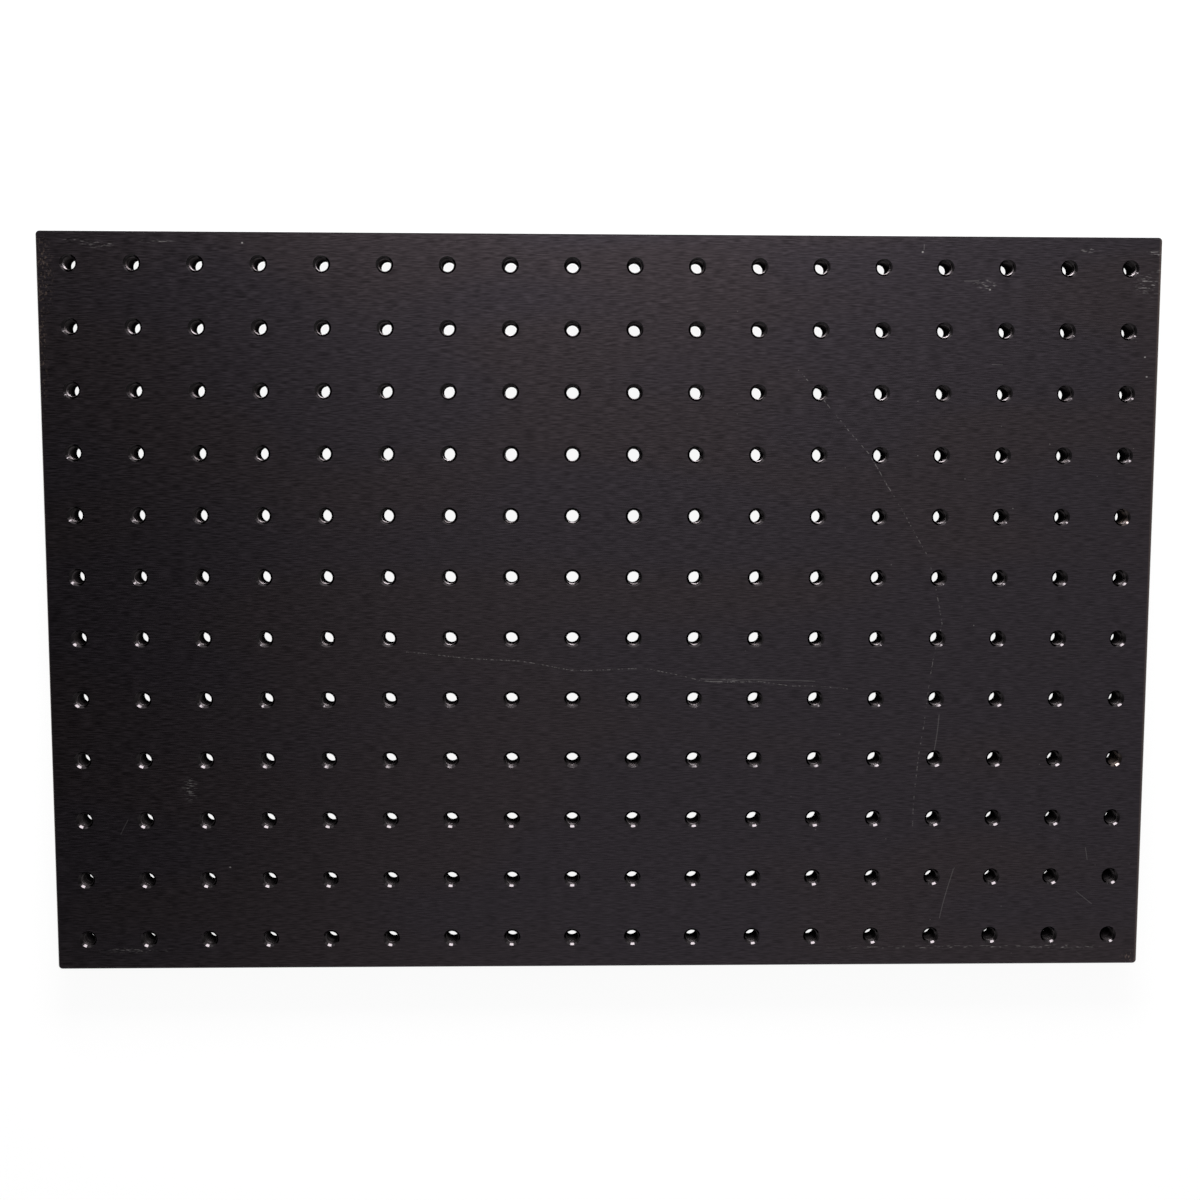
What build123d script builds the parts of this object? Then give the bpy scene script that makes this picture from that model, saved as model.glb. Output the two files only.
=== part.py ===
from build123d import *
from math import radians, tan
import os

# A solid optical breadboard: one aluminium plate, tapped right through on a square grid.
# It lies on its underside at z = 0, working face up, with its long side along X and its middle on the Z axis.
# All sizes are in millimetres and degrees.

# The grid of tapped holes, 1/4-20 on one inch centres
HOLE_PITCH = 25.4
HOLE_COLUMNS = 18
HOLE_ROWS = 12
EDGE_MARGIN = 12.7  # from the axes of the outermost holes to the plate's edges

# The plate
PLATE_THICKNESS = 12.7
CORNER_RADIUS = 1.5  # upright corners, as the cutter leaves them
EDGE_BREAK = 0.4  # 45 degree break round the rim of both faces

# One hole. Its wall is at the thread's minor diameter, because the thread is too fine for the solid.
THREAD_MINOR_DIAMETER = 5.1
COUNTERSINK_DEPTH = 1.0
COUNTERSINK_ANGLE = 90  # included angle of the cone, which opens the hole to 7.1 at both faces

plate_length = (HOLE_COLUMNS - 1) * HOLE_PITCH + 2 * EDGE_MARGIN
plate_width = (HOLE_ROWS - 1) * HOLE_PITCH + 2 * EDGE_MARGIN


def plate_blank():
    """The plate before drilling: rounded upright corners, and the rims of both faces broken."""
    with BuildPart() as blank:
        with BuildSketch():
            RectangleRounded(plate_length, plate_width, CORNER_RADIUS)
        extrude(amount=PLATE_THICKNESS)
        edges_by_height = blank.edges().group_by(Axis.Z)
        chamfer(edges_by_height[0] + edges_by_height[-1], EDGE_BREAK)
    return blank.part


def hole_cutter():
    """What drill and countersinks take out for one hole: a bore with a cone that opens it at each face.

    Both cones run on past their face by their own depth, so that the cut is clean.
    """
    bore_radius = THREAD_MINOR_DIAMETER / 2
    cone_spread = COUNTERSINK_DEPTH * tan(radians(COUNTERSINK_ANGLE / 2))
    outer_radius = bore_radius + 2 * cone_spread
    with BuildPart() as cutter:
        with BuildSketch(Plane.XZ):
            with BuildLine():
                Polyline(
                    (0, -COUNTERSINK_DEPTH),
                    (outer_radius, -COUNTERSINK_DEPTH),
                    (bore_radius, COUNTERSINK_DEPTH),
                    (bore_radius, PLATE_THICKNESS - COUNTERSINK_DEPTH),
                    (outer_radius, PLATE_THICKNESS + COUNTERSINK_DEPTH),
                    (0, PLATE_THICKNESS + COUNTERSINK_DEPTH),
                    close=True,
                )
            make_face()
        revolve(axis=Axis.Z)
    return cutter.part


def breadboard_plate():
    """The finished plate, with one hole at every point of the grid."""
    with BuildPart() as plate:
        add(plate_blank())
        with GridLocations(HOLE_PITCH, HOLE_PITCH, HOLE_COLUMNS, HOLE_ROWS):
            add(hole_cutter(), mode=Mode.SUBTRACT)
    return plate.part


os.makedirs("parts", exist_ok=True)
plate = breadboard_plate()
export_step(plate, "parts/breadboard_plate.step")
print(f"plate {plate_length:.1f} x {plate_width:.1f} x {PLATE_THICKNESS:.1f} mm")
print(f"{HOLE_COLUMNS * HOLE_ROWS} tapped holes, {plate.volume / 1000:.1f} cm3 of metal")
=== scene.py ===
# %% [markdown]
# An optical breadboard is a thick, flat plate of aluminium, tapped all over on a square grid so that posts, mounts
# and lenses can be screwed down anywhere. This one is solid: the plate is milled to size, its faces are brushed, it
# is drilled, countersunk and tapped right through at 216 places, and then it is anodised black.
#
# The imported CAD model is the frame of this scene. It gives the size and the place of the plate, and everything made
# here is in its coordinates: metres, Z up, the middle of the underside at the origin.

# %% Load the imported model
from math import pi, radians, tan

import bmesh
import bpy
from mathutils import Matrix, Vector


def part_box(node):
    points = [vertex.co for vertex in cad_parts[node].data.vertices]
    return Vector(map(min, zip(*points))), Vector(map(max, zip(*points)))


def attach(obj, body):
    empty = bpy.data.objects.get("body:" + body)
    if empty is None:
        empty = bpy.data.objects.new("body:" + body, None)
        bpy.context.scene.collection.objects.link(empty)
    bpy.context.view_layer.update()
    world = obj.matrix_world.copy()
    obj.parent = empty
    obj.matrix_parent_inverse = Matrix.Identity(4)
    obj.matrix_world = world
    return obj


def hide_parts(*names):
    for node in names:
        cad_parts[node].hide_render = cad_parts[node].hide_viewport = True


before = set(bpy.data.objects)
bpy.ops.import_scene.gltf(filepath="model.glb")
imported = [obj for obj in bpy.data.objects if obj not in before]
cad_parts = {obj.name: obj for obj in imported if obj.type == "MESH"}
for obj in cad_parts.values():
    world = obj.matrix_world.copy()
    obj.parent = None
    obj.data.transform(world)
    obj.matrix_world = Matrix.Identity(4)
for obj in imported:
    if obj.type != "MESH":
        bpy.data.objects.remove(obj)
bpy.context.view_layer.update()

MM_PER_M = 1000

plate_low, plate_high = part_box("breadboard_plate")
print("plate in the CAD model:", [round(side * MM_PER_M, 1) for side in plate_high - plate_low], "mm")

# %% [markdown]
# The camera comes first, because the holes are deep and narrow: how much of each wall shows, and how far the light
# comes through, depends on where the eye is. It is not quite 0.6 m above a plate 0.46 m long and leans a few
# degrees, and from so near every hole is seen from a side of its own. An eye point and a point on the plate that it
# looks at are easier to understand than three angles, so the camera's axes are built from those two.

# %% Camera
EYE = Vector((-0.0148, 0.0545, 0.5927))
LOOK_AT = Vector((-0.0013, 0.0035, 0.0127))
UP_HINT = Vector((-0.0025, 1, 0))  # the plate lies a hair askew in the picture
LENS = 42.15
SENSOR_WIDTH = 36

camera_data = bpy.data.cameras.new("camera")
camera_data.lens = LENS
camera_data.sensor_width = SENSOR_WIDTH
camera = bpy.data.objects.new("camera", camera_data)
bpy.context.collection.objects.link(camera)
forward = (LOOK_AT - EYE).normalized()
right = forward.cross(UP_HINT).normalized()
axes = Matrix((right, right.cross(forward), -forward)).transposed()
camera.matrix_world = Matrix.Translation(EYE) @ axes.to_4x4()
bpy.context.scene.camera = camera
bpy.context.scene.view_settings.view_transform = "Standard"
print("camera", round((LOOK_AT - EYE).length, 3), "m from the plate")

# %% [markdown]
# Node trees are easier to read when a node, its settings and what feeds it stand in one line. Two helpers do that,
# and the others are built on them: `feed` puts a number, a colour or another node's output into a socket, and
# `add_node` makes a node and feeds its inputs, which are named or counted as they are in the editor.


# %% Helpers for node trees
def feed(tree, socket, source):
    """Puts a plain value into a socket, or links another node's output to it."""
    if isinstance(source, bpy.types.NodeSocket):
        tree.links.new(source, socket)
    else:
        socket.default_value = source


def add_node(tree, kind, inputs=None, **settings):
    """Adds a node of a kind such as "Math", with its settings and its inputs by name or number."""
    node = tree.nodes.new("ShaderNode" + kind)
    for setting, value in settings.items():
        setattr(node, setting, value)
    for key, source in (inputs or {}).items():
        feed(tree, node.inputs[key], source)
    return node


def math(tree, operation, first, second=0.0, third=0.0, clamp=False):
    """One arithmetic step, which returns its output."""
    sources = {0: first, 1: second, 2: third}
    return add_node(tree, "Math", sources, operation=operation, use_clamp=clamp).outputs[0]


def vector_math(tree, operation, first, second=(0, 0, 0), output=0):
    """One step with vectors. Length and distance come out of output 1."""
    return add_node(tree, "VectorMath", {0: first, 1: second}, operation=operation).outputs[output]


def blend(tree, amount, first, second, blend_type="MIX"):
    """Mixes two colours, which returns the mixed colour."""
    node = add_node(tree, "Mix", data_type="RGBA", blend_type=blend_type)
    feed(tree, node.inputs[0], amount)
    feed(tree, node.inputs[6], first)
    feed(tree, node.inputs[7], second)
    return node.outputs[2]


def ramp(tree, value, start, end):
    """A smooth mask: 0 while the value is before start, 1 past end. Start may be the larger of the two."""
    limits = {"Value": value, "From Min": start, "From Max": end}
    return add_node(tree, "MapRange", limits, interpolation_type="SMOOTHSTEP").outputs["Result"]


def noise(tree, place, scale, detail=3.0, roughness=0.5):
    """Cloudy noise with a scale of its own along each axis, which returns a value round 0.5."""
    stretched = vector_math(tree, "MULTIPLY", place, scale)
    inputs = {"Vector": stretched, "Scale": 1.0, "Detail": detail, "Roughness": roughness}
    return add_node(tree, "TexNoise", inputs).outputs["Fac"]


def new_material(name):
    """An empty material, which returns it with its tree and its output node."""
    material = bpy.data.materials.new(name)
    material.use_nodes = True
    material.node_tree.nodes.clear()
    return material, material.node_tree, add_node(material.node_tree, "OutputMaterial")


def millimetres(tree):
    """The place on the object in millimetres, so that the patterns below are in a maker's units."""
    place = add_node(tree, "TexCoord").outputs["Object"]
    return vector_math(tree, "MULTIPLY", place, (MM_PER_M, MM_PER_M, MM_PER_M))


# %% [markdown]
# The plate lies on a white sweep. A floor that is lit until it is white would also flood the plate with light, so
# its whiteness comes from the Light Path node instead: rays from the camera, and rays that the metal mirrors or that
# pass through something, find mostly a plain white glow. A part of the ordinary diffuse floor stays in the mixture,
# and it keeps the plate's shadow. The same white shows through the tapped holes.

# %% Floor
FLOOR_SIZE = 24.0
FLOOR_GAP = 0.0001  # keeps the floor clear of the plate's underside
GLOW_SHARE = 0.93
FLOOR_GREY = (0.8, 0.8, 0.8, 1)
WHITE = (1, 1, 1, 1)

floor_mesh = bmesh.new()
bmesh.ops.create_grid(floor_mesh, x_segments=1, y_segments=1, size=FLOOR_SIZE / 2)
bmesh.ops.translate(floor_mesh, vec=(0, 0, -FLOOR_GAP), verts=floor_mesh.verts)
floor_data = bpy.data.meshes.new("floor")
floor_mesh.to_mesh(floor_data)
floor_mesh.free()
floor = bpy.data.objects.new("floor", floor_data)
bpy.context.collection.objects.link(floor)

floor_paint, tree, output = new_material("floor_paint")
rays = add_node(tree, "LightPath").outputs
seen = math(tree, "MAXIMUM", rays["Is Camera Ray"], rays["Is Glossy Ray"])
seen = math(tree, "MAXIMUM", seen, rays["Is Transmission Ray"])
paint = add_node(tree, "BsdfDiffuse", {"Color": FLOOR_GREY}).outputs[0]
glow = add_node(tree, "Emission", {"Color": WHITE, "Strength": 1.0}).outputs[0]
share = math(tree, "MULTIPLY", seen, GLOW_SHARE)
feed(tree, output.inputs["Surface"], add_node(tree, "MixShader", {0: share, 1: paint, 2: glow}).outputs[0])
floor_data.materials.append(floor_paint)
print("floor", FLOOR_SIZE, "m wide")

# %% [markdown]
# Dark metal shows the studio more than its own colour, so the lights are placed for what the plate mirrors. The face
# mirrors what hangs above it: a wide soft box to the right of the middle leaves the left side of the plate darker,
# and a weaker one hangs behind. The countersinks are 45 degree cones, and a cone at 45 degrees turns the camera's
# eye to the horizon. A small lamp that stands low and close behind the plate puts a crisp spot at the near edge of a
# hole. It is so close that its spot wanders from hole to hole, as that of a far panel would not. A wide, dim glow
# further back and a wall of light above it draw the soft grey crescents, and a box in front of the plate does the
# same at the far edges. The air of the studio is white at the horizon, like the sweep, and dark overhead, where it
# would wash out the black.


# %% Studio lights
def soft_box(name, place, target, width, height, power):
    """Adds an area lamp that faces a target. It lights the plate and shows in its gloss, but not to the camera."""
    lamp_data = bpy.data.lights.new(name, "AREA")
    lamp_data.shape = "RECTANGLE"
    lamp_data.size = width
    lamp_data.size_y = height
    lamp_data.energy = power
    lamp = bpy.data.objects.new(name, lamp_data)
    lamp.location = place
    lamp.rotation_euler = (Vector(target) - Vector(place)).to_track_quat("-Z", "Y").to_euler()
    lamp.visible_camera = False
    bpy.context.collection.objects.link(lamp)


# Name, place, target, width and height in metres, and power in watts
SOFT_BOXES = [
    ("ceiling_box", (0.90, 0.00, 1.60), (0.90, 0.00, 0), 2.60, 2.30, 13.5),
    ("rear_box", (0.00, 1.10, 1.50), (0, 0.10, 0), 1.70, 0.80, 5.2),
    ("rear_wall", (0.20, 1.70, 0.95), (0, 0, 0), 5.00, 0.80, 20),
    ("front_box", (0.00, -1.45, 1.50), (0, -0.10, 0), 3.40, 0.80, 9),
    ("low_glow", (0.00, 1.50, 0.22), (0, 0, 0.1), 3.40, 0.36, 9),
    ("near_lamp", (0.00, 0.52, 0.265), (0, -0.10, 0.0127), 0.44, 0.22, 14),
]
for facts in SOFT_BOXES:
    soft_box(*facts)

HORIZON_LIGHT = 1.0
ZENITH_LIGHT = 0.03
WHITE_UP_TO = 0.16  # heights of a direction, from 0 at the horizon to 1 overhead
DARK_FROM = 0.5

world = bpy.data.worlds.new("studio")
world.use_nodes = True
bpy.context.scene.world = world
sky = world.node_tree
sky.nodes.clear()
direction = add_node(sky, "TexCoord").outputs["Generated"]
height = add_node(sky, "SeparateXYZ", {0: direction}).outputs["Z"]
climb = {"Value": height, "From Min": WHITE_UP_TO, "From Max": DARK_FROM,
         "To Min": HORIZON_LIGHT, "To Max": ZENITH_LIGHT}
air = add_node(sky, "MapRange", climb).outputs["Result"]
backdrop = add_node(sky, "Background", {"Color": WHITE, "Strength": air})
feed(sky, add_node(sky, "OutputWorld").inputs["Surface"], backdrop.outputs[0])

# %% [markdown]
# The plate repeats one square cell, 25.4 mm on a side, 18 times along and 12 times across, so only one cell is
# modelled with care. It is made as in the workshop. The stock is a square block. The tap and the countersink are
# shapes of their own, and a Boolean modifier takes each of them out of the block. Cutting with tools costs no more
# than drawing the result, and it finds the hard line for us: where the thread runs out on the cone.
#
# The tap is a line of teeth, one to a pitch, spun once about its axis while it climbs by one pitch. Then its end
# meets its own beginning one tooth further up, and merging the doubles closes the screw. The flank that faces up
# stands at the angle of the real 60 degree thread, because it is what catches the light inside a hole. The other
# flank takes in the narrow flat of the crest: it is turned away from the eye, and it saves a third of the faces.
# Work goes on in millimetres, because the Boolean is surest with numbers near one.

# %% One cell: block, tap and countersink
HOLE_COLUMNS = 18
HOLE_ROWS = 12
CELL = (plate_high.x - plate_low.x) * MM_PER_M / HOLE_COLUMNS
THICKNESS = (plate_high.z - plate_low.z) * MM_PER_M
TOUCH = 0.001  # two places closer than this are the same, in millimetres

THREAD_PITCH = 1.27  # 20 threads to the inch
THREAD_MINOR_RADIUS = 2.55
THREAD_MAJOR_RADIUS = 3.175  # a quarter inch screw
THREAD_ANGLE = 60
THREAD_SIDES = 15
SPARE_TEETH = 2  # at each end, to be cut off square
TAP_OVERRUN = 0.4  # how far the tap stands out of each face

COUNTERSINK_DEPTH = 1.0
COUNTERSINK_SIDES = 28
MOUTH_RADIUS = THREAD_MINOR_RADIUS + COUNTERSINK_DEPTH


def all_of(shape):
    """Everything in a bmesh, in the form that its operators take."""
    return shape.verts[:] + shape.edges[:] + shape.faces[:]


def polyline(shape, corners):
    """Adds an open line through corners given as (radius, height), ready to be spun about the Z axis."""
    verts = [shape.verts.new((radius, 0, height)) for radius, height in corners]
    return verts + [shape.edges.new(pair) for pair in zip(verts, verts[1:])]


def make_object(shape, name):
    """Turns a bmesh into an object of the scene."""
    data = bpy.data.meshes.new(name)
    shape.to_mesh(data)
    shape.free()
    made = bpy.data.objects.new(name, data)
    bpy.context.collection.objects.link(made)
    return made


block = bmesh.new()
bmesh.ops.create_cube(block, size=1)
bmesh.ops.scale(block, vec=(CELL, CELL, THICKNESS), verts=block.verts)
bmesh.ops.translate(block, vec=(0, 0, THICKNESS / 2), verts=block.verts)
block = make_object(block, "cell_block")

tap = bmesh.new()
flank_rise = (THREAD_MAJOR_RADIUS - THREAD_MINOR_RADIUS) * tan(radians(THREAD_ANGLE / 2))
teeth = []
for number in range(-SPARE_TEETH, round(THICKNESS / THREAD_PITCH) + SPARE_TEETH):
    base = number * THREAD_PITCH
    teeth += [(THREAD_MINOR_RADIUS, base), (THREAD_MAJOR_RADIUS, base + flank_rise)]
climb_of_a_step = (0, 0, THREAD_PITCH / THREAD_SIDES)
bmesh.ops.spin(tap, geom=polyline(tap, teeth), cent=(0, 0, 0), axis=(0, 0, 1), dvec=climb_of_a_step,
               angle=2 * pi, steps=THREAD_SIDES, use_merge=False, use_duplicate=False)
bmesh.ops.remove_doubles(tap, verts=tap.verts, dist=TOUCH)
for end, outward in ((-TAP_OVERRUN, -1), (THICKNESS + TAP_OVERRUN, 1)):
    bmesh.ops.bisect_plane(tap, geom=all_of(tap), plane_co=(0, 0, end), plane_no=(0, 0, outward), clear_outer=True)
bmesh.ops.holes_fill(tap, edges=[edge for edge in tap.edges if edge.is_boundary], sides=0)
bmesh.ops.recalc_face_normals(tap, faces=tap.faces)
print("tap:", len(tap.faces), "faces")
tap = make_object(tap, "tap")

countersink = bmesh.new()
for face_height, inward in ((0, 1), (THICKNESS, -1)):
    tip = face_height + 2 * inward * COUNTERSINK_DEPTH
    back = face_height - inward * COUNTERSINK_DEPTH
    cone = [(0, back), (MOUTH_RADIUS + COUNTERSINK_DEPTH, back), (MOUTH_RADIUS - 2 * COUNTERSINK_DEPTH, tip),
            (0, tip)]
    bmesh.ops.spin(countersink, geom=polyline(countersink, cone), cent=(0, 0, 0), axis=(0, 0, 1), dvec=(0, 0, 0),
                   angle=2 * pi, steps=COUNTERSINK_SIDES, use_merge=True, use_duplicate=False)
bmesh.ops.remove_doubles(countersink, verts=countersink.verts, dist=TOUCH)
bmesh.ops.recalc_face_normals(countersink, faces=countersink.faces)
countersink = make_object(countersink, "countersink")

for tool in (tap, countersink):
    cut = block.modifiers.new(tool.name, "BOOLEAN")
    cut.operation = "DIFFERENCE"
    cut.solver = "EXACT"
    cut.object = tool
cell_data = bpy.data.meshes.new_from_object(block.evaluated_get(bpy.context.evaluated_depsgraph_get()))
for helper in (block, tap, countersink):
    bpy.data.objects.remove(helper)
print("cell:", len(cell_data.polygons), "faces")

# %% [markdown]
# Two rounds of copying turn the cell into the plate: first into a row, then the row into the grid. Before that the
# block loses its four side walls, so that neighbours share their edges when the doubles are merged. What is left is
# two open rims, and bridging them closes the plate with one clean side wall. The cutter left small radii on the four
# upright corners, and the rims of both faces have the light chamfer that keeps such a plate from cutting hands.

# %% The whole plate
CORNER_RADIUS = 1.5
CORNER_SEGMENTS = 5
EDGE_BREAK = 0.4
SQUARE = radians(90)
SLACK = 0.02  # how far an angle or a direction may be off and still count


def copy_along(shape, step, count):
    """Repeats all that a bmesh holds, in a line that is centred on the origin."""
    pattern = all_of(shape)
    for number in range(1, count):
        made = bmesh.ops.duplicate(shape, geom=pattern)
        verts = [item for item in made["geom"] if isinstance(item, bmesh.types.BMVert)]
        bmesh.ops.translate(shape, vec=step * number, verts=verts)
    bmesh.ops.translate(shape, vec=-step * (count - 1) / 2, verts=shape.verts)
    bmesh.ops.remove_doubles(shape, verts=shape.verts, dist=TOUCH)


plate = bmesh.new()
plate.from_mesh(cell_data)
walls = [face for face in plate.faces if abs(face.normal.z) < SLACK and len(face.verts) == 4
         and max(map(abs, face.calc_center_median().xy)) > CELL / 2 - TOUCH]
bmesh.ops.delete(plate, geom=walls, context="FACES")
copy_along(plate, Vector((CELL, 0, 0)), HOLE_COLUMNS)
copy_along(plate, Vector((0, CELL, 0)), HOLE_ROWS)
bmesh.ops.bridge_loops(plate, edges=[edge for edge in plate.edges if edge.is_boundary])

upright = [edge for edge in plate.edges if abs(edge.calc_face_angle(0) - SQUARE) < SLACK
           and abs(edge.verts[0].co.z - edge.verts[1].co.z) > THICKNESS - TOUCH]
bmesh.ops.bevel(plate, geom=upright, offset=CORNER_RADIUS, offset_type="OFFSET", segments=CORNER_SEGMENTS,
                profile=0.5, affect="EDGES", material=-1)
rims = [edge for edge in plate.edges if abs(edge.calc_face_angle(0) - SQUARE) < SLACK
        and abs(edge.verts[0].co.z - edge.verts[1].co.z) < TOUCH
        and min(edge.verts[0].co.z, THICKNESS - edge.verts[0].co.z) < TOUCH]
bmesh.ops.bevel(plate, geom=rims, offset=EDGE_BREAK, offset_type="OFFSET", segments=1,
                profile=0.5, affect="EDGES", material=-1)
bmesh.ops.recalc_face_normals(plate, faces=plate.faces)
triangles = sum(len(face.verts) - 2 for face in plate.faces)
closed = all(edge.is_manifold for edge in plate.edges)
print("plate:", triangles, "triangles, closed:", closed, "volume", round(plate.calc_volume() / 1000, 1), "cm3")

# %% [markdown]
# One mesh can carry three finishes. Both faces are brushed, the rims and the milled sides are plain, and the walls
# of the holes are as the tap and the countersink left them, so each face of the mesh is told which finish it has.
# Round walls are shaded smooth, and edges that turn by more than 30 degrees stay crisp.

# %% Faces of the three finishes
half_length = CELL * HOLE_COLUMNS / 2
half_width = CELL * HOLE_ROWS / 2
SIDE_BAND = 2  # the sides, the corners and the rims all lie this close to the outline
FLAT = 0.99
CRISP = radians(30)
BRUSHED, PLAIN, TAPPED = 0, 1, 2

for face in plate.faces:
    middle = face.calc_center_median()
    near_side = min(half_length - abs(middle.x), half_width - abs(middle.y)) < SIDE_BAND
    if abs(face.normal.z) > FLAT:
        face.material_index = BRUSHED
    else:
        face.material_index = PLAIN if near_side else TAPPED
    face.smooth = face.material_index == TAPPED
for edge in plate.edges:
    edge.smooth = edge.calc_face_angle(0) < CRISP
bmesh.ops.scale(plate, vec=(1 / MM_PER_M, 1 / MM_PER_M, 1 / MM_PER_M), verts=plate.verts)
plate = make_object(plate, "tapped_plate")
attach(plate, "root")
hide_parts("breadboard_plate")
print("tapped_plate:", len(plate.data.polygons), "faces")

# %% [markdown]
# The brushed grain is the plate's main texture: hair lines along its length, less than a millimetre apart and about
# a centimetre long. Noise that is stretched along X gives just that, and one finer octave in it keeps the lines from
# being all alike. The grain tints the metal and tilts its surface, so it is a group that puts out both. The tint
# carries most of it: tilt alone is so fine that a clean picture loses it.


# %% Group: brushed grain
def new_group(name, inputs, outputs):
    """A node group with named inputs as {name: (kind, value)} and named value outputs."""
    group = bpy.data.node_groups.new(name, "ShaderNodeTree")
    for label, (kind, value) in inputs.items():
        socket = group.interface.new_socket(label, in_out="INPUT", socket_type="NodeSocket" + kind)
        socket.default_value = value
    for label in outputs:
        group.interface.new_socket(label, in_out="OUTPUT", socket_type="NodeSocketFloat")
    return group, group.nodes.new("NodeGroupInput").outputs, group.nodes.new("NodeGroupOutput").inputs


def use_group(tree, group, inputs):
    """Places a group in a tree and returns its outputs."""
    node = add_node(tree, "Group", node_tree=group)
    for key, source in inputs.items():
        feed(tree, node.inputs[key], source)
    return node.outputs


GRAIN_SCALE = (0.18, 2.6, 2.6)  # waves to a millimetre along each axis

grain_group, given, result = new_group("brushed_grain", {"Place": ("Vector", (0, 0, 0))}, ["Lines", "Height"])
lines = noise(grain_group, given["Place"], GRAIN_SCALE, detail=1, roughness=0.8)
feed(grain_group, result["Lines"], ramp(grain_group, lines, 0.30, 0.70))
feed(grain_group, result["Height"], lines)
print("brushed_grain:", len(grain_group.nodes), "nodes")

# %% [markdown]
# No two holes are alike: the tap was a little sharper for one, oil stayed in another. A group turns the place into a
# number for each cell of the grid, and white noise makes two lots of it. The same cells give the distance from the
# hole's own axis, by which the crests of a thread can be told from its roots.

# %% Group: the lot of each hole
lot_group, given, result = new_group("hole_lot", {"Place": ("Vector", (0, 0, 0))}, ["Gloss", "Wear", "Radius"])
flat_place = vector_math(lot_group, "MULTIPLY", given["Place"], (1 / CELL, 1 / CELL, 0))
cell_number = vector_math(lot_group, "FLOOR", flat_place)
lots = add_node(lot_group, "TexWhiteNoise", {"Vector": cell_number}, noise_dimensions="3D").outputs["Color"]
lots = add_node(lot_group, "SeparateColor", {0: lots}).outputs
feed(lot_group, result["Gloss"], lots[0])
feed(lot_group, result["Wear"], lots[1])
from_axis = vector_math(lot_group, "SUBTRACT", vector_math(lot_group, "FRACTION", flat_place), (0.5, 0.5, 0))
cells_off_axis = vector_math(lot_group, "LENGTH", from_axis, output=1)
feed(lot_group, result["Radius"], math(lot_group, "MULTIPLY", cells_off_axis, CELL))
print("hole_lot:", len(lot_group.nodes), "nodes")

# %% [markdown]
# A plate like this has worked for years, and its story is in its marks: two long scratches where something was
# dragged over it, scuffs along the rims where it was slid on a bench, and loose specks. A scratch is a chain of
# straight strokes. The group below gives the mask of one stroke from its two ends, and a second group gives a soft
# patch in which fine marks gather. Both are set on the working face, a whole plate away from the underside.

# %% Groups: a stroke and a patch
stroke_group, given, result = new_group("stroke", {"Place": ("Vector", (0, 0, 0)), "From": ("Vector", (0, 0, 0)),
                                                   "To": ("Vector", (0, 0, 0)), "Half width": ("Float", 0.2)},
                                        ["Mask"])
along = vector_math(stroke_group, "SUBTRACT", given["To"], given["From"])
reach = vector_math(stroke_group, "SUBTRACT", given["Place"], given["From"])
progress = math(stroke_group, "DIVIDE", vector_math(stroke_group, "DOT_PRODUCT", reach, along, output=1),
                vector_math(stroke_group, "DOT_PRODUCT", along, along, output=1), clamp=True)
nearest = add_node(stroke_group, "VectorMath", {0: along, "Scale": progress}, operation="SCALE").outputs[0]
off_line = vector_math(stroke_group, "DISTANCE", reach, nearest, output=1)
closeness = math(stroke_group, "SUBTRACT", 1.0, math(stroke_group, "DIVIDE", off_line, given["Half width"]))
feed(stroke_group, result["Mask"], math(stroke_group, "MAXIMUM", closeness, 0.0))

patch_group, given, result = new_group("patch", {"Place": ("Vector", (0, 0, 0)), "Middle": ("Vector", (0, 0, 0)),
                                                 "Reach": ("Vector", (1, 1, 1))}, ["Mask"])
offset = vector_math(patch_group, "SUBTRACT", given["Place"], given["Middle"])
spread = vector_math(patch_group, "LENGTH", vector_math(patch_group, "DIVIDE", offset, given["Reach"]), output=1)
feed(patch_group, result["Mask"], ramp(patch_group, spread, 1.0, 0.3))
print("groups:", [group.name for group in bpy.data.node_groups])

# %% [markdown]
# The finish of the faces. Black anodising is a dyed, glassy layer on bare metal: it has almost no colour of its own
# and shows a dim, soft picture of the room. A metallic Principled BSDF with a very dark base does this, and its
# roughness is that of the brushing. The dye is never quite even, so slow noise leans the black towards brown and
# violet.

# %% Brushed face: colour and dye
FACE_DARK = (0.0225, 0.0191, 0.0217, 1)
FACE_PALE = (0.0398, 0.0337, 0.0386, 1)
MARK_METAL = (0.42, 0.40, 0.39, 1)
BROWN_METAL = (0.22, 0.165, 0.135, 1)

face_finish, tree, output = new_material("brushed_black_face")
place = millimetres(tree)
grain = use_group(tree, grain_group, {"Place": place})
colour = blend(tree, grain["Lines"], FACE_DARK, FACE_PALE)
dye_drift = noise(tree, place, (0.011, 0.03, 0.03), detail=0)
brown_to_violet = blend(tree, ramp(tree, dye_drift, 0.38, 0.62), (1.03, 1.0, 0.97, 1), (0.985, 0.99, 1.015, 1))
colour = blend(tree, 1.0, colour, brown_to_violet, "MULTIPLY")
print("colour and dye:", len(tree.nodes), "nodes")

# %% [markdown]
# The marks. The way points of the scratches are places on the working face in millimetres from its middle, read off
# one by one. Each chain is broken up by noise, as a dragged corner skips. Scuffs are pale dashes along the grain:
# noise with a threshold, allowed only inside their patches.

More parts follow.
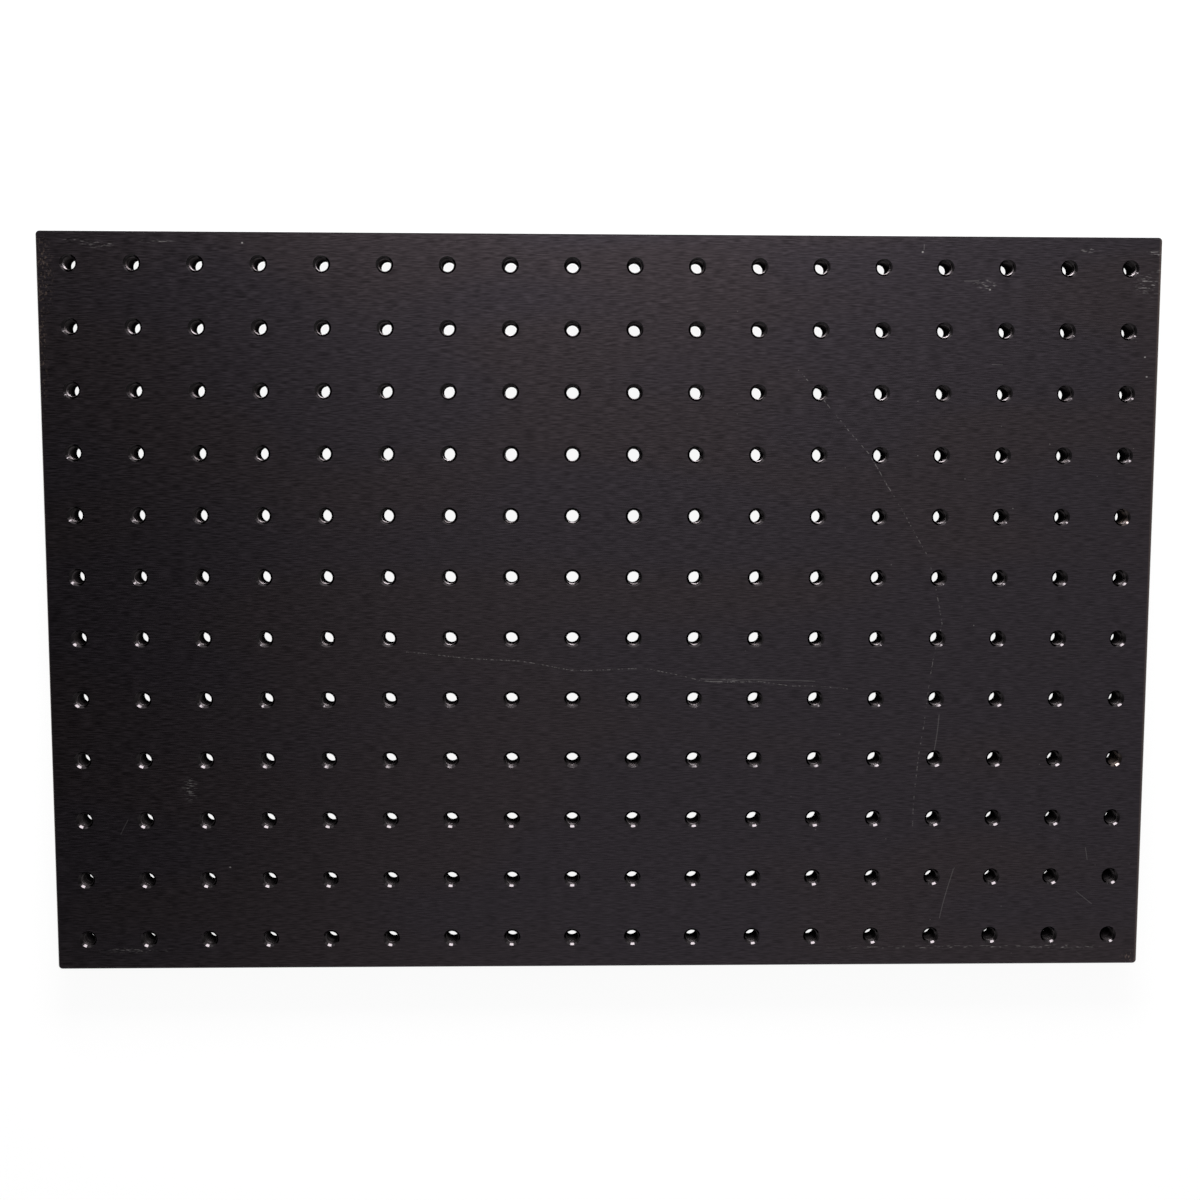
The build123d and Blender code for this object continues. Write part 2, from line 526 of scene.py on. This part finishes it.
# %% Brushed face: where the marks are
LONG_SCRATCH = [(81, 98), (97, 80), (110, 64), (117, 51), (125, 39), (135, 22), (142, -6), (133, -59),
                (131, -91)]
CROSS_SCRATCH = [(-82, -19), (-35, -22), (-13, -25), (19, -25.8), (41, -29.8), (66, -30.4), (78, -33), (102, -34.8)]
SHORT_SCRATCHES = [[(141, -44), (139, -59)], [(-198, -88), (-201, -94)], [(130, 150), (130, 148)],
                   [(148, 135), (154, 135)], [(160, 100), (164, 100)], [(149, -110), (144, -132)],
                   [(201, -121), (208, -126)], [(204.5, -102), (205.5, -107)], [(41, -29), (62, -29.4), (88, -31.6)]]
SPECKS = [(-146, 148), (-156, -109), (223, 104), (224, 96), (130, 146), (158, 131)]
DASHES = [((-213, 148.6), (7, 0.9)), ((-204, 147), (9, 1.8)), ((-180, 148.4), (9, 0.8)), ((198, 147), (6, 1.2)),
          ((226, 146), (7, 1.6)), ((227, 139), (5, 0.9)), ((-195, -144.5), (20, 1.4)), ((146, -144.8), (72, 0.8)),
          ((196, -145), (20, 1.5)), ((156, 133), (6, 3)), ((223, 133), (7, 6)), ((-172, -76), (5, 7)),
          ((52, -30.4), (15, 1.3))]
SPECKLE = [((-226.5, 135), (6, 22)), ((-227.8, 103), (3.4, 34)), ((227.5, -149.5), (7, 4))]
TOP = plate_high.z * MM_PER_M
PATCH_DEPTH = 2  # less than the plate's thickness, so that the underside keeps clear of the marks

SCRATCH_HALF_WIDTH = 0.26
CROSS_HALF_WIDTH = 0.28
SPECK_REACH = (0.6, 0.45)
SCRATCH_STRENGTH = 0.26  # how much of the bare metal shows in each kind of mark
SHORT_SHARE = 0.55
SPECK_STRENGTH = 0.45
DASH_STRENGTH = 0.36
DUST_STRENGTH = 0.22
SPECKLE_STRENGTH = 0.4
RIM_STRENGTH = 0.22
SWAY = 5  # millimetres by which slow noise bends a scratch, from one extreme to the other
print("marks:", 2 + len(SHORT_SCRATCHES), "scratches,", len(SPECKS), "specks,", len(DASHES), "scuffs")

# %% [markdown]
# Two helpers place the groups: one chains strokes from point to point, the other gathers patches. Slow noise bends
# the strokes a little, so that no scratch is ruler-straight, and finer noise lets them skip. Where marks of several
# kinds meet, the strongest shows.


# %% Brushed face: scratches, specks and scuffs
def chain_mask(points, half_width_of_line):
    """The mask of a chain of strokes through points on the working face."""
    mask = 0.0
    for start, end in zip(points, points[1:]):
        ends = {"From": (*start, TOP), "To": (*end, TOP), "Place": wavering, "Half width": half_width_of_line}
        mask = math(tree, "MAXIMUM", use_group(tree, stroke_group, ends)["Mask"], mask)
    return mask


def patches_mask(patches):
    """The mask of several soft patches, each as its middle and its reach on the working face."""
    mask = 0.0
    for (x, y), (reach_x, reach_y) in patches:
        inputs = {"Place": place, "Middle": (x, y, TOP), "Reach": (reach_x, reach_y, PATCH_DEPTH)}
        mask = math(tree, "MAXIMUM", use_group(tree, patch_group, inputs)["Mask"], mask)
    return mask


sway = {"Vector": vector_math(tree, "MULTIPLY", place, (0.022, 0.022, 0)), "Scale": 1.0, "Detail": 0.0}
sway = add_node(tree, "TexNoise", sway).outputs["Color"]
sway = vector_math(tree, "MULTIPLY", vector_math(tree, "SUBTRACT", sway, (0.5, 0.5, 0.5)), (SWAY, SWAY, 0))
wavering = vector_math(tree, "ADD", place, sway)
skips = ramp(tree, noise(tree, place, (0.80, 0.80, 0.1), detail=1, roughness=0.8), 0.47, 0.64)
long_scratch = chain_mask(LONG_SCRATCH, SCRATCH_HALF_WIDTH)
scratches = math(tree, "MULTIPLY", long_scratch, math(tree, "POWER", skips, 1.6))
cross = math(tree, "MULTIPLY", chain_mask(CROSS_SCRATCH, CROSS_HALF_WIDTH), math(tree, "ADD", skips, 0.10))
scratches = math(tree, "MAXIMUM", scratches, cross)
for line in SHORT_SCRATCHES:
    short = math(tree, "MULTIPLY", chain_mask(line, SCRATCH_HALF_WIDTH), SHORT_SHARE)
    scratches = math(tree, "MAXIMUM", scratches, short)
marks = math(tree, "MULTIPLY", scratches, SCRATCH_STRENGTH)
specks = patches_mask([(middle, SPECK_REACH) for middle in SPECKS])
marks = math(tree, "MAXIMUM", marks, math(tree, "MULTIPLY", specks, SPECK_STRENGTH))
dash_lines = ramp(tree, noise(tree, place, (0.34, 2.2, 2.2), detail=1, roughness=0.7), 0.54, 0.70)
dashes = math(tree, "MULTIPLY", patches_mask(DASHES), dash_lines)
marks = math(tree, "MAXIMUM", marks, math(tree, "MULTIPLY", dashes, DASH_STRENGTH))
print("with its marks:", len(tree.nodes), "nodes")

# %% [markdown]
# The right half, where the plate was used most, carries fine dust. A Voronoi texture gives one point to a cell, and
# only the luckiest cells keep theirs. Beside the left rim and at one corner the black has come off in brown speckle,
# and the right rim is rubbed brown all along.

# %% Brushed face: dust, speckle and the rubbed rim
along_plate = add_node(tree, "SeparateXYZ", {0: place}).outputs["X"]
right_half = ramp(tree, along_plate, -40, 190)
dust_cells = add_node(tree, "TexVoronoi", {"Vector": place, "Scale": 0.20}, feature="F1").outputs
dust = ramp(tree, dust_cells["Distance"], 0.07, 0.02)
lucky = add_node(tree, "SeparateColor", {0: dust_cells["Color"]}).outputs[0]
dust = math(tree, "MULTIPLY", dust, ramp(tree, lucky, 0.70, 1.0))
dust = math(tree, "MULTIPLY", dust, math(tree, "ADD", right_half, 0.15))
marks = math(tree, "MAXIMUM", marks, math(tree, "MULTIPLY", dust, DUST_STRENGTH), clamp=True)
colour = blend(tree, marks, colour, MARK_METAL)

speckle = ramp(tree, noise(tree, place, (1.3, 0.9, 0.9), detail=1, roughness=0.7), 0.53, 0.68)
brown = math(tree, "MULTIPLY", math(tree, "MULTIPLY", patches_mask(SPECKLE), speckle), SPECKLE_STRENGTH)
right_rim = ramp(tree, along_plate, half_length - 1.4, half_length - 0.5)
brown = math(tree, "MAXIMUM", brown, math(tree, "MULTIPLY", right_rim, RIM_STRENGTH))
colour = blend(tree, brown, colour, BROWN_METAL)
print("with dust and rubbed rims:", len(tree.nodes), "nodes")

# %% [markdown]
# Gloss comes last. The brushing makes the face satin, the crests of the grain and the bare metal of the marks are a
# little duller, and the grain tilts the surface by a trace, so that it glints when the plate is turned.

# %% Brushed face: gloss
FACE_ROUGHNESS = 0.31
LINES_ROUGHNESS = 0.08  # added on the pale lines of the grain
MARKS_ROUGHNESS = 0.25  # added where the metal is bare

face_rough = math(tree, "MULTIPLY_ADD", grain["Lines"], LINES_ROUGHNESS, FACE_ROUGHNESS)
face_rough = math(tree, "ADD", face_rough, math(tree, "MULTIPLY", marks, MARKS_ROUGHNESS))
bump = add_node(tree, "Bump", {"Height": grain["Height"], "Strength": 0.05, "Distance": 0.00006})
face_shader = add_node(tree, "BsdfPrincipled", {"Base Color": colour, "Metallic": 1.0, "Roughness": face_rough,
                                                "Normal": bump.outputs[0]})
feed(tree, output.inputs["Surface"], face_shader.outputs[0])
plate.data.materials.append(face_finish)
print("face finish:", len(tree.nodes), "nodes")

# %% [markdown]
# The rims and the sides were milled and not brushed, so their black is plain and a little glossier. At the two short
# ends, where the plate was stood on the bench, the layer on the rims has worn to a warm brown in patches.

# %% Plain sides and rims
SIDE_BLACK = (0.020, 0.018, 0.020, 1)
RIM_METAL = (0.070, 0.052, 0.044, 1)
SIDE_ROUGHNESS = 0.12

side_finish, tree, output = new_material("plain_black_side")
place = millimetres(tree)
from_centre = vector_math(tree, "ABSOLUTE", vector_math(tree, "SUBTRACT", place, (0, 0, THICKNESS / 2)))
from_centre = add_node(tree, "SeparateXYZ", {0: from_centre}).outputs
short_ends = ramp(tree, from_centre["X"], half_length - 0.5, half_length - 0.2)
rims = ramp(tree, from_centre["Z"], THICKNESS / 2 - 0.9, THICKNESS / 2 - 0.4)
rim_patches = ramp(tree, noise(tree, place, (0.12, 0.12, 0.3), detail=2, roughness=0.65), 0.30, 0.60)
worn = math(tree, "MULTIPLY", math(tree, "MULTIPLY", short_ends, rims), rim_patches)
colour = blend(tree, worn, SIDE_BLACK, RIM_METAL)
side_shader = add_node(tree, "BsdfPrincipled",
                       {"Base Color": colour, "Metallic": 1.0, "Roughness": SIDE_ROUGHNESS})
feed(tree, output.inputs["Surface"], side_shader.outputs[0])
plate.data.materials.append(side_finish)
print("side finish:", len(tree.nodes), "nodes")

# %% [markdown]
# The finish of the holes. The cones are the same dyed layer on metal that a countersink has cut smooth, so they are
# glossy and show the near lamp as a crisp spot. The tap tears the metal a little and leaves it matt, so the thread
# only glows softly. Screws have rubbed its crests paler, and those fine rings are what makes a thread of it. The
# Specular Tint of a metal is its tint at a grazing angle: a dark one keeps the torn thread from mirroring the white
# sweep along its whole length. Two holes in the last column have lost their black, probably to a steel screw that
# was driven often.

# %% Walls of the holes
# the next colour is painted shade: the wall colour at the bottom of a hole, darker because little light gets that
# deep
PAINTED_SHADE_BLACK = (0.008, 0.007, 0.008, 1)
WALL_BLACK = (0.018, 0.0155, 0.016, 1)
CONE_BLACK = (0.018, 0.016, 0.017, 1)
CREST_GREY = (0.070, 0.063, 0.066, 1)
WORN_WALL = (0.062, 0.047, 0.040, 1)
GRAZING_TINT = (0.3, 0.3, 0.3, 1)
WORN_HOLES = [(17, 4), (17, 8)]  # column and row, counted from the far left corner
CONE_START = THICKNESS / 2 - COUNTERSINK_DEPTH  # height from the middle of the plate
WALL_ROUGHNESS = 0.36
LOT_ROUGHNESS = 0.08  # added in the dullest hole
CONE_GLOSS = 0.29  # taken off on the cones

wall_finish, tree, output = new_material("tapped_wall")
place = millimetres(tree)
lot = use_group(tree, lot_group, {"Place": place})
height = add_node(tree, "SeparateXYZ", {0: place}).outputs["Z"]
from_middle = math(tree, "ABSOLUTE", math(tree, "SUBTRACT", height, THICKNESS / 2))
on_cone = ramp(tree, from_middle, CONE_START - 0.08, CONE_START + 0.02)
on_crest = ramp(tree, lot["Radius"], THREAD_MINOR_RADIUS + 0.22, THREAD_MINOR_RADIUS + 0.06)
on_crest = math(tree, "MULTIPLY", on_crest, math(tree, "SUBTRACT", 1.0, on_cone))
by_turn = ramp(tree, noise(tree, place, (0.12, 0.12, 0.75), detail=0), 0.44, 0.60)
rubbed = math(tree, "MULTIPLY", by_turn, ramp(tree, height, 2.0, THICKNESS))
rubbed = math(tree, "MULTIPLY", rubbed, math(tree, "MULTIPLY_ADD", lot["Wear"], 0.4, 0.6))
# painted shade: the walls are painted darker towards the bottom of each hole, where less light reaches
colour = blend(tree, ramp(tree, height, 0.0, THICKNESS - 2), PAINTED_SHADE_BLACK, WALL_BLACK)
colour = blend(tree, math(tree, "MULTIPLY", on_crest, rubbed), colour, CREST_GREY)
colour = blend(tree, on_cone, colour, CONE_BLACK)
worn = 0.0
for column, row in WORN_HOLES:
    axis = ((column + 0.5) * CELL - half_length, half_width - (row + 0.5) * CELL, THICKNESS / 2)
    inputs = {"Place": place, "Middle": axis, "Reach": (5, 5, 20)}
    worn = math(tree, "MAXIMUM", use_group(tree, patch_group, inputs)["Mask"], worn)
flakes = ramp(tree, noise(tree, place, (0.5, 0.5, 0.5), detail=2, roughness=0.6), 0.35, 0.6)
colour = blend(tree, math(tree, "MULTIPLY", worn, flakes, clamp=True), colour, WORN_WALL)

wall_rough = math(tree, "MULTIPLY_ADD", lot["Gloss"], LOT_ROUGHNESS, WALL_ROUGHNESS)
wall_rough = math(tree, "SUBTRACT", wall_rough, math(tree, "MULTIPLY", on_cone, CONE_GLOSS))
wall_height = noise(tree, place, (0.55, 0.55, 1.2), detail=1)
bump = add_node(tree, "Bump", {"Height": wall_height, "Strength": 0.1, "Distance": 0.0001})
wall_shader = add_node(tree, "BsdfPrincipled", {"Base Color": colour, "Metallic": 1.0, "Roughness": wall_rough,
                                                "Specular Tint": GRAZING_TINT, "Normal": bump.outputs[0]})
feed(tree, output.inputs["Surface"], wall_shader.outputs[0])
plate.data.materials.append(wall_finish)
print("wall finish:", len(tree.nodes), "nodes")
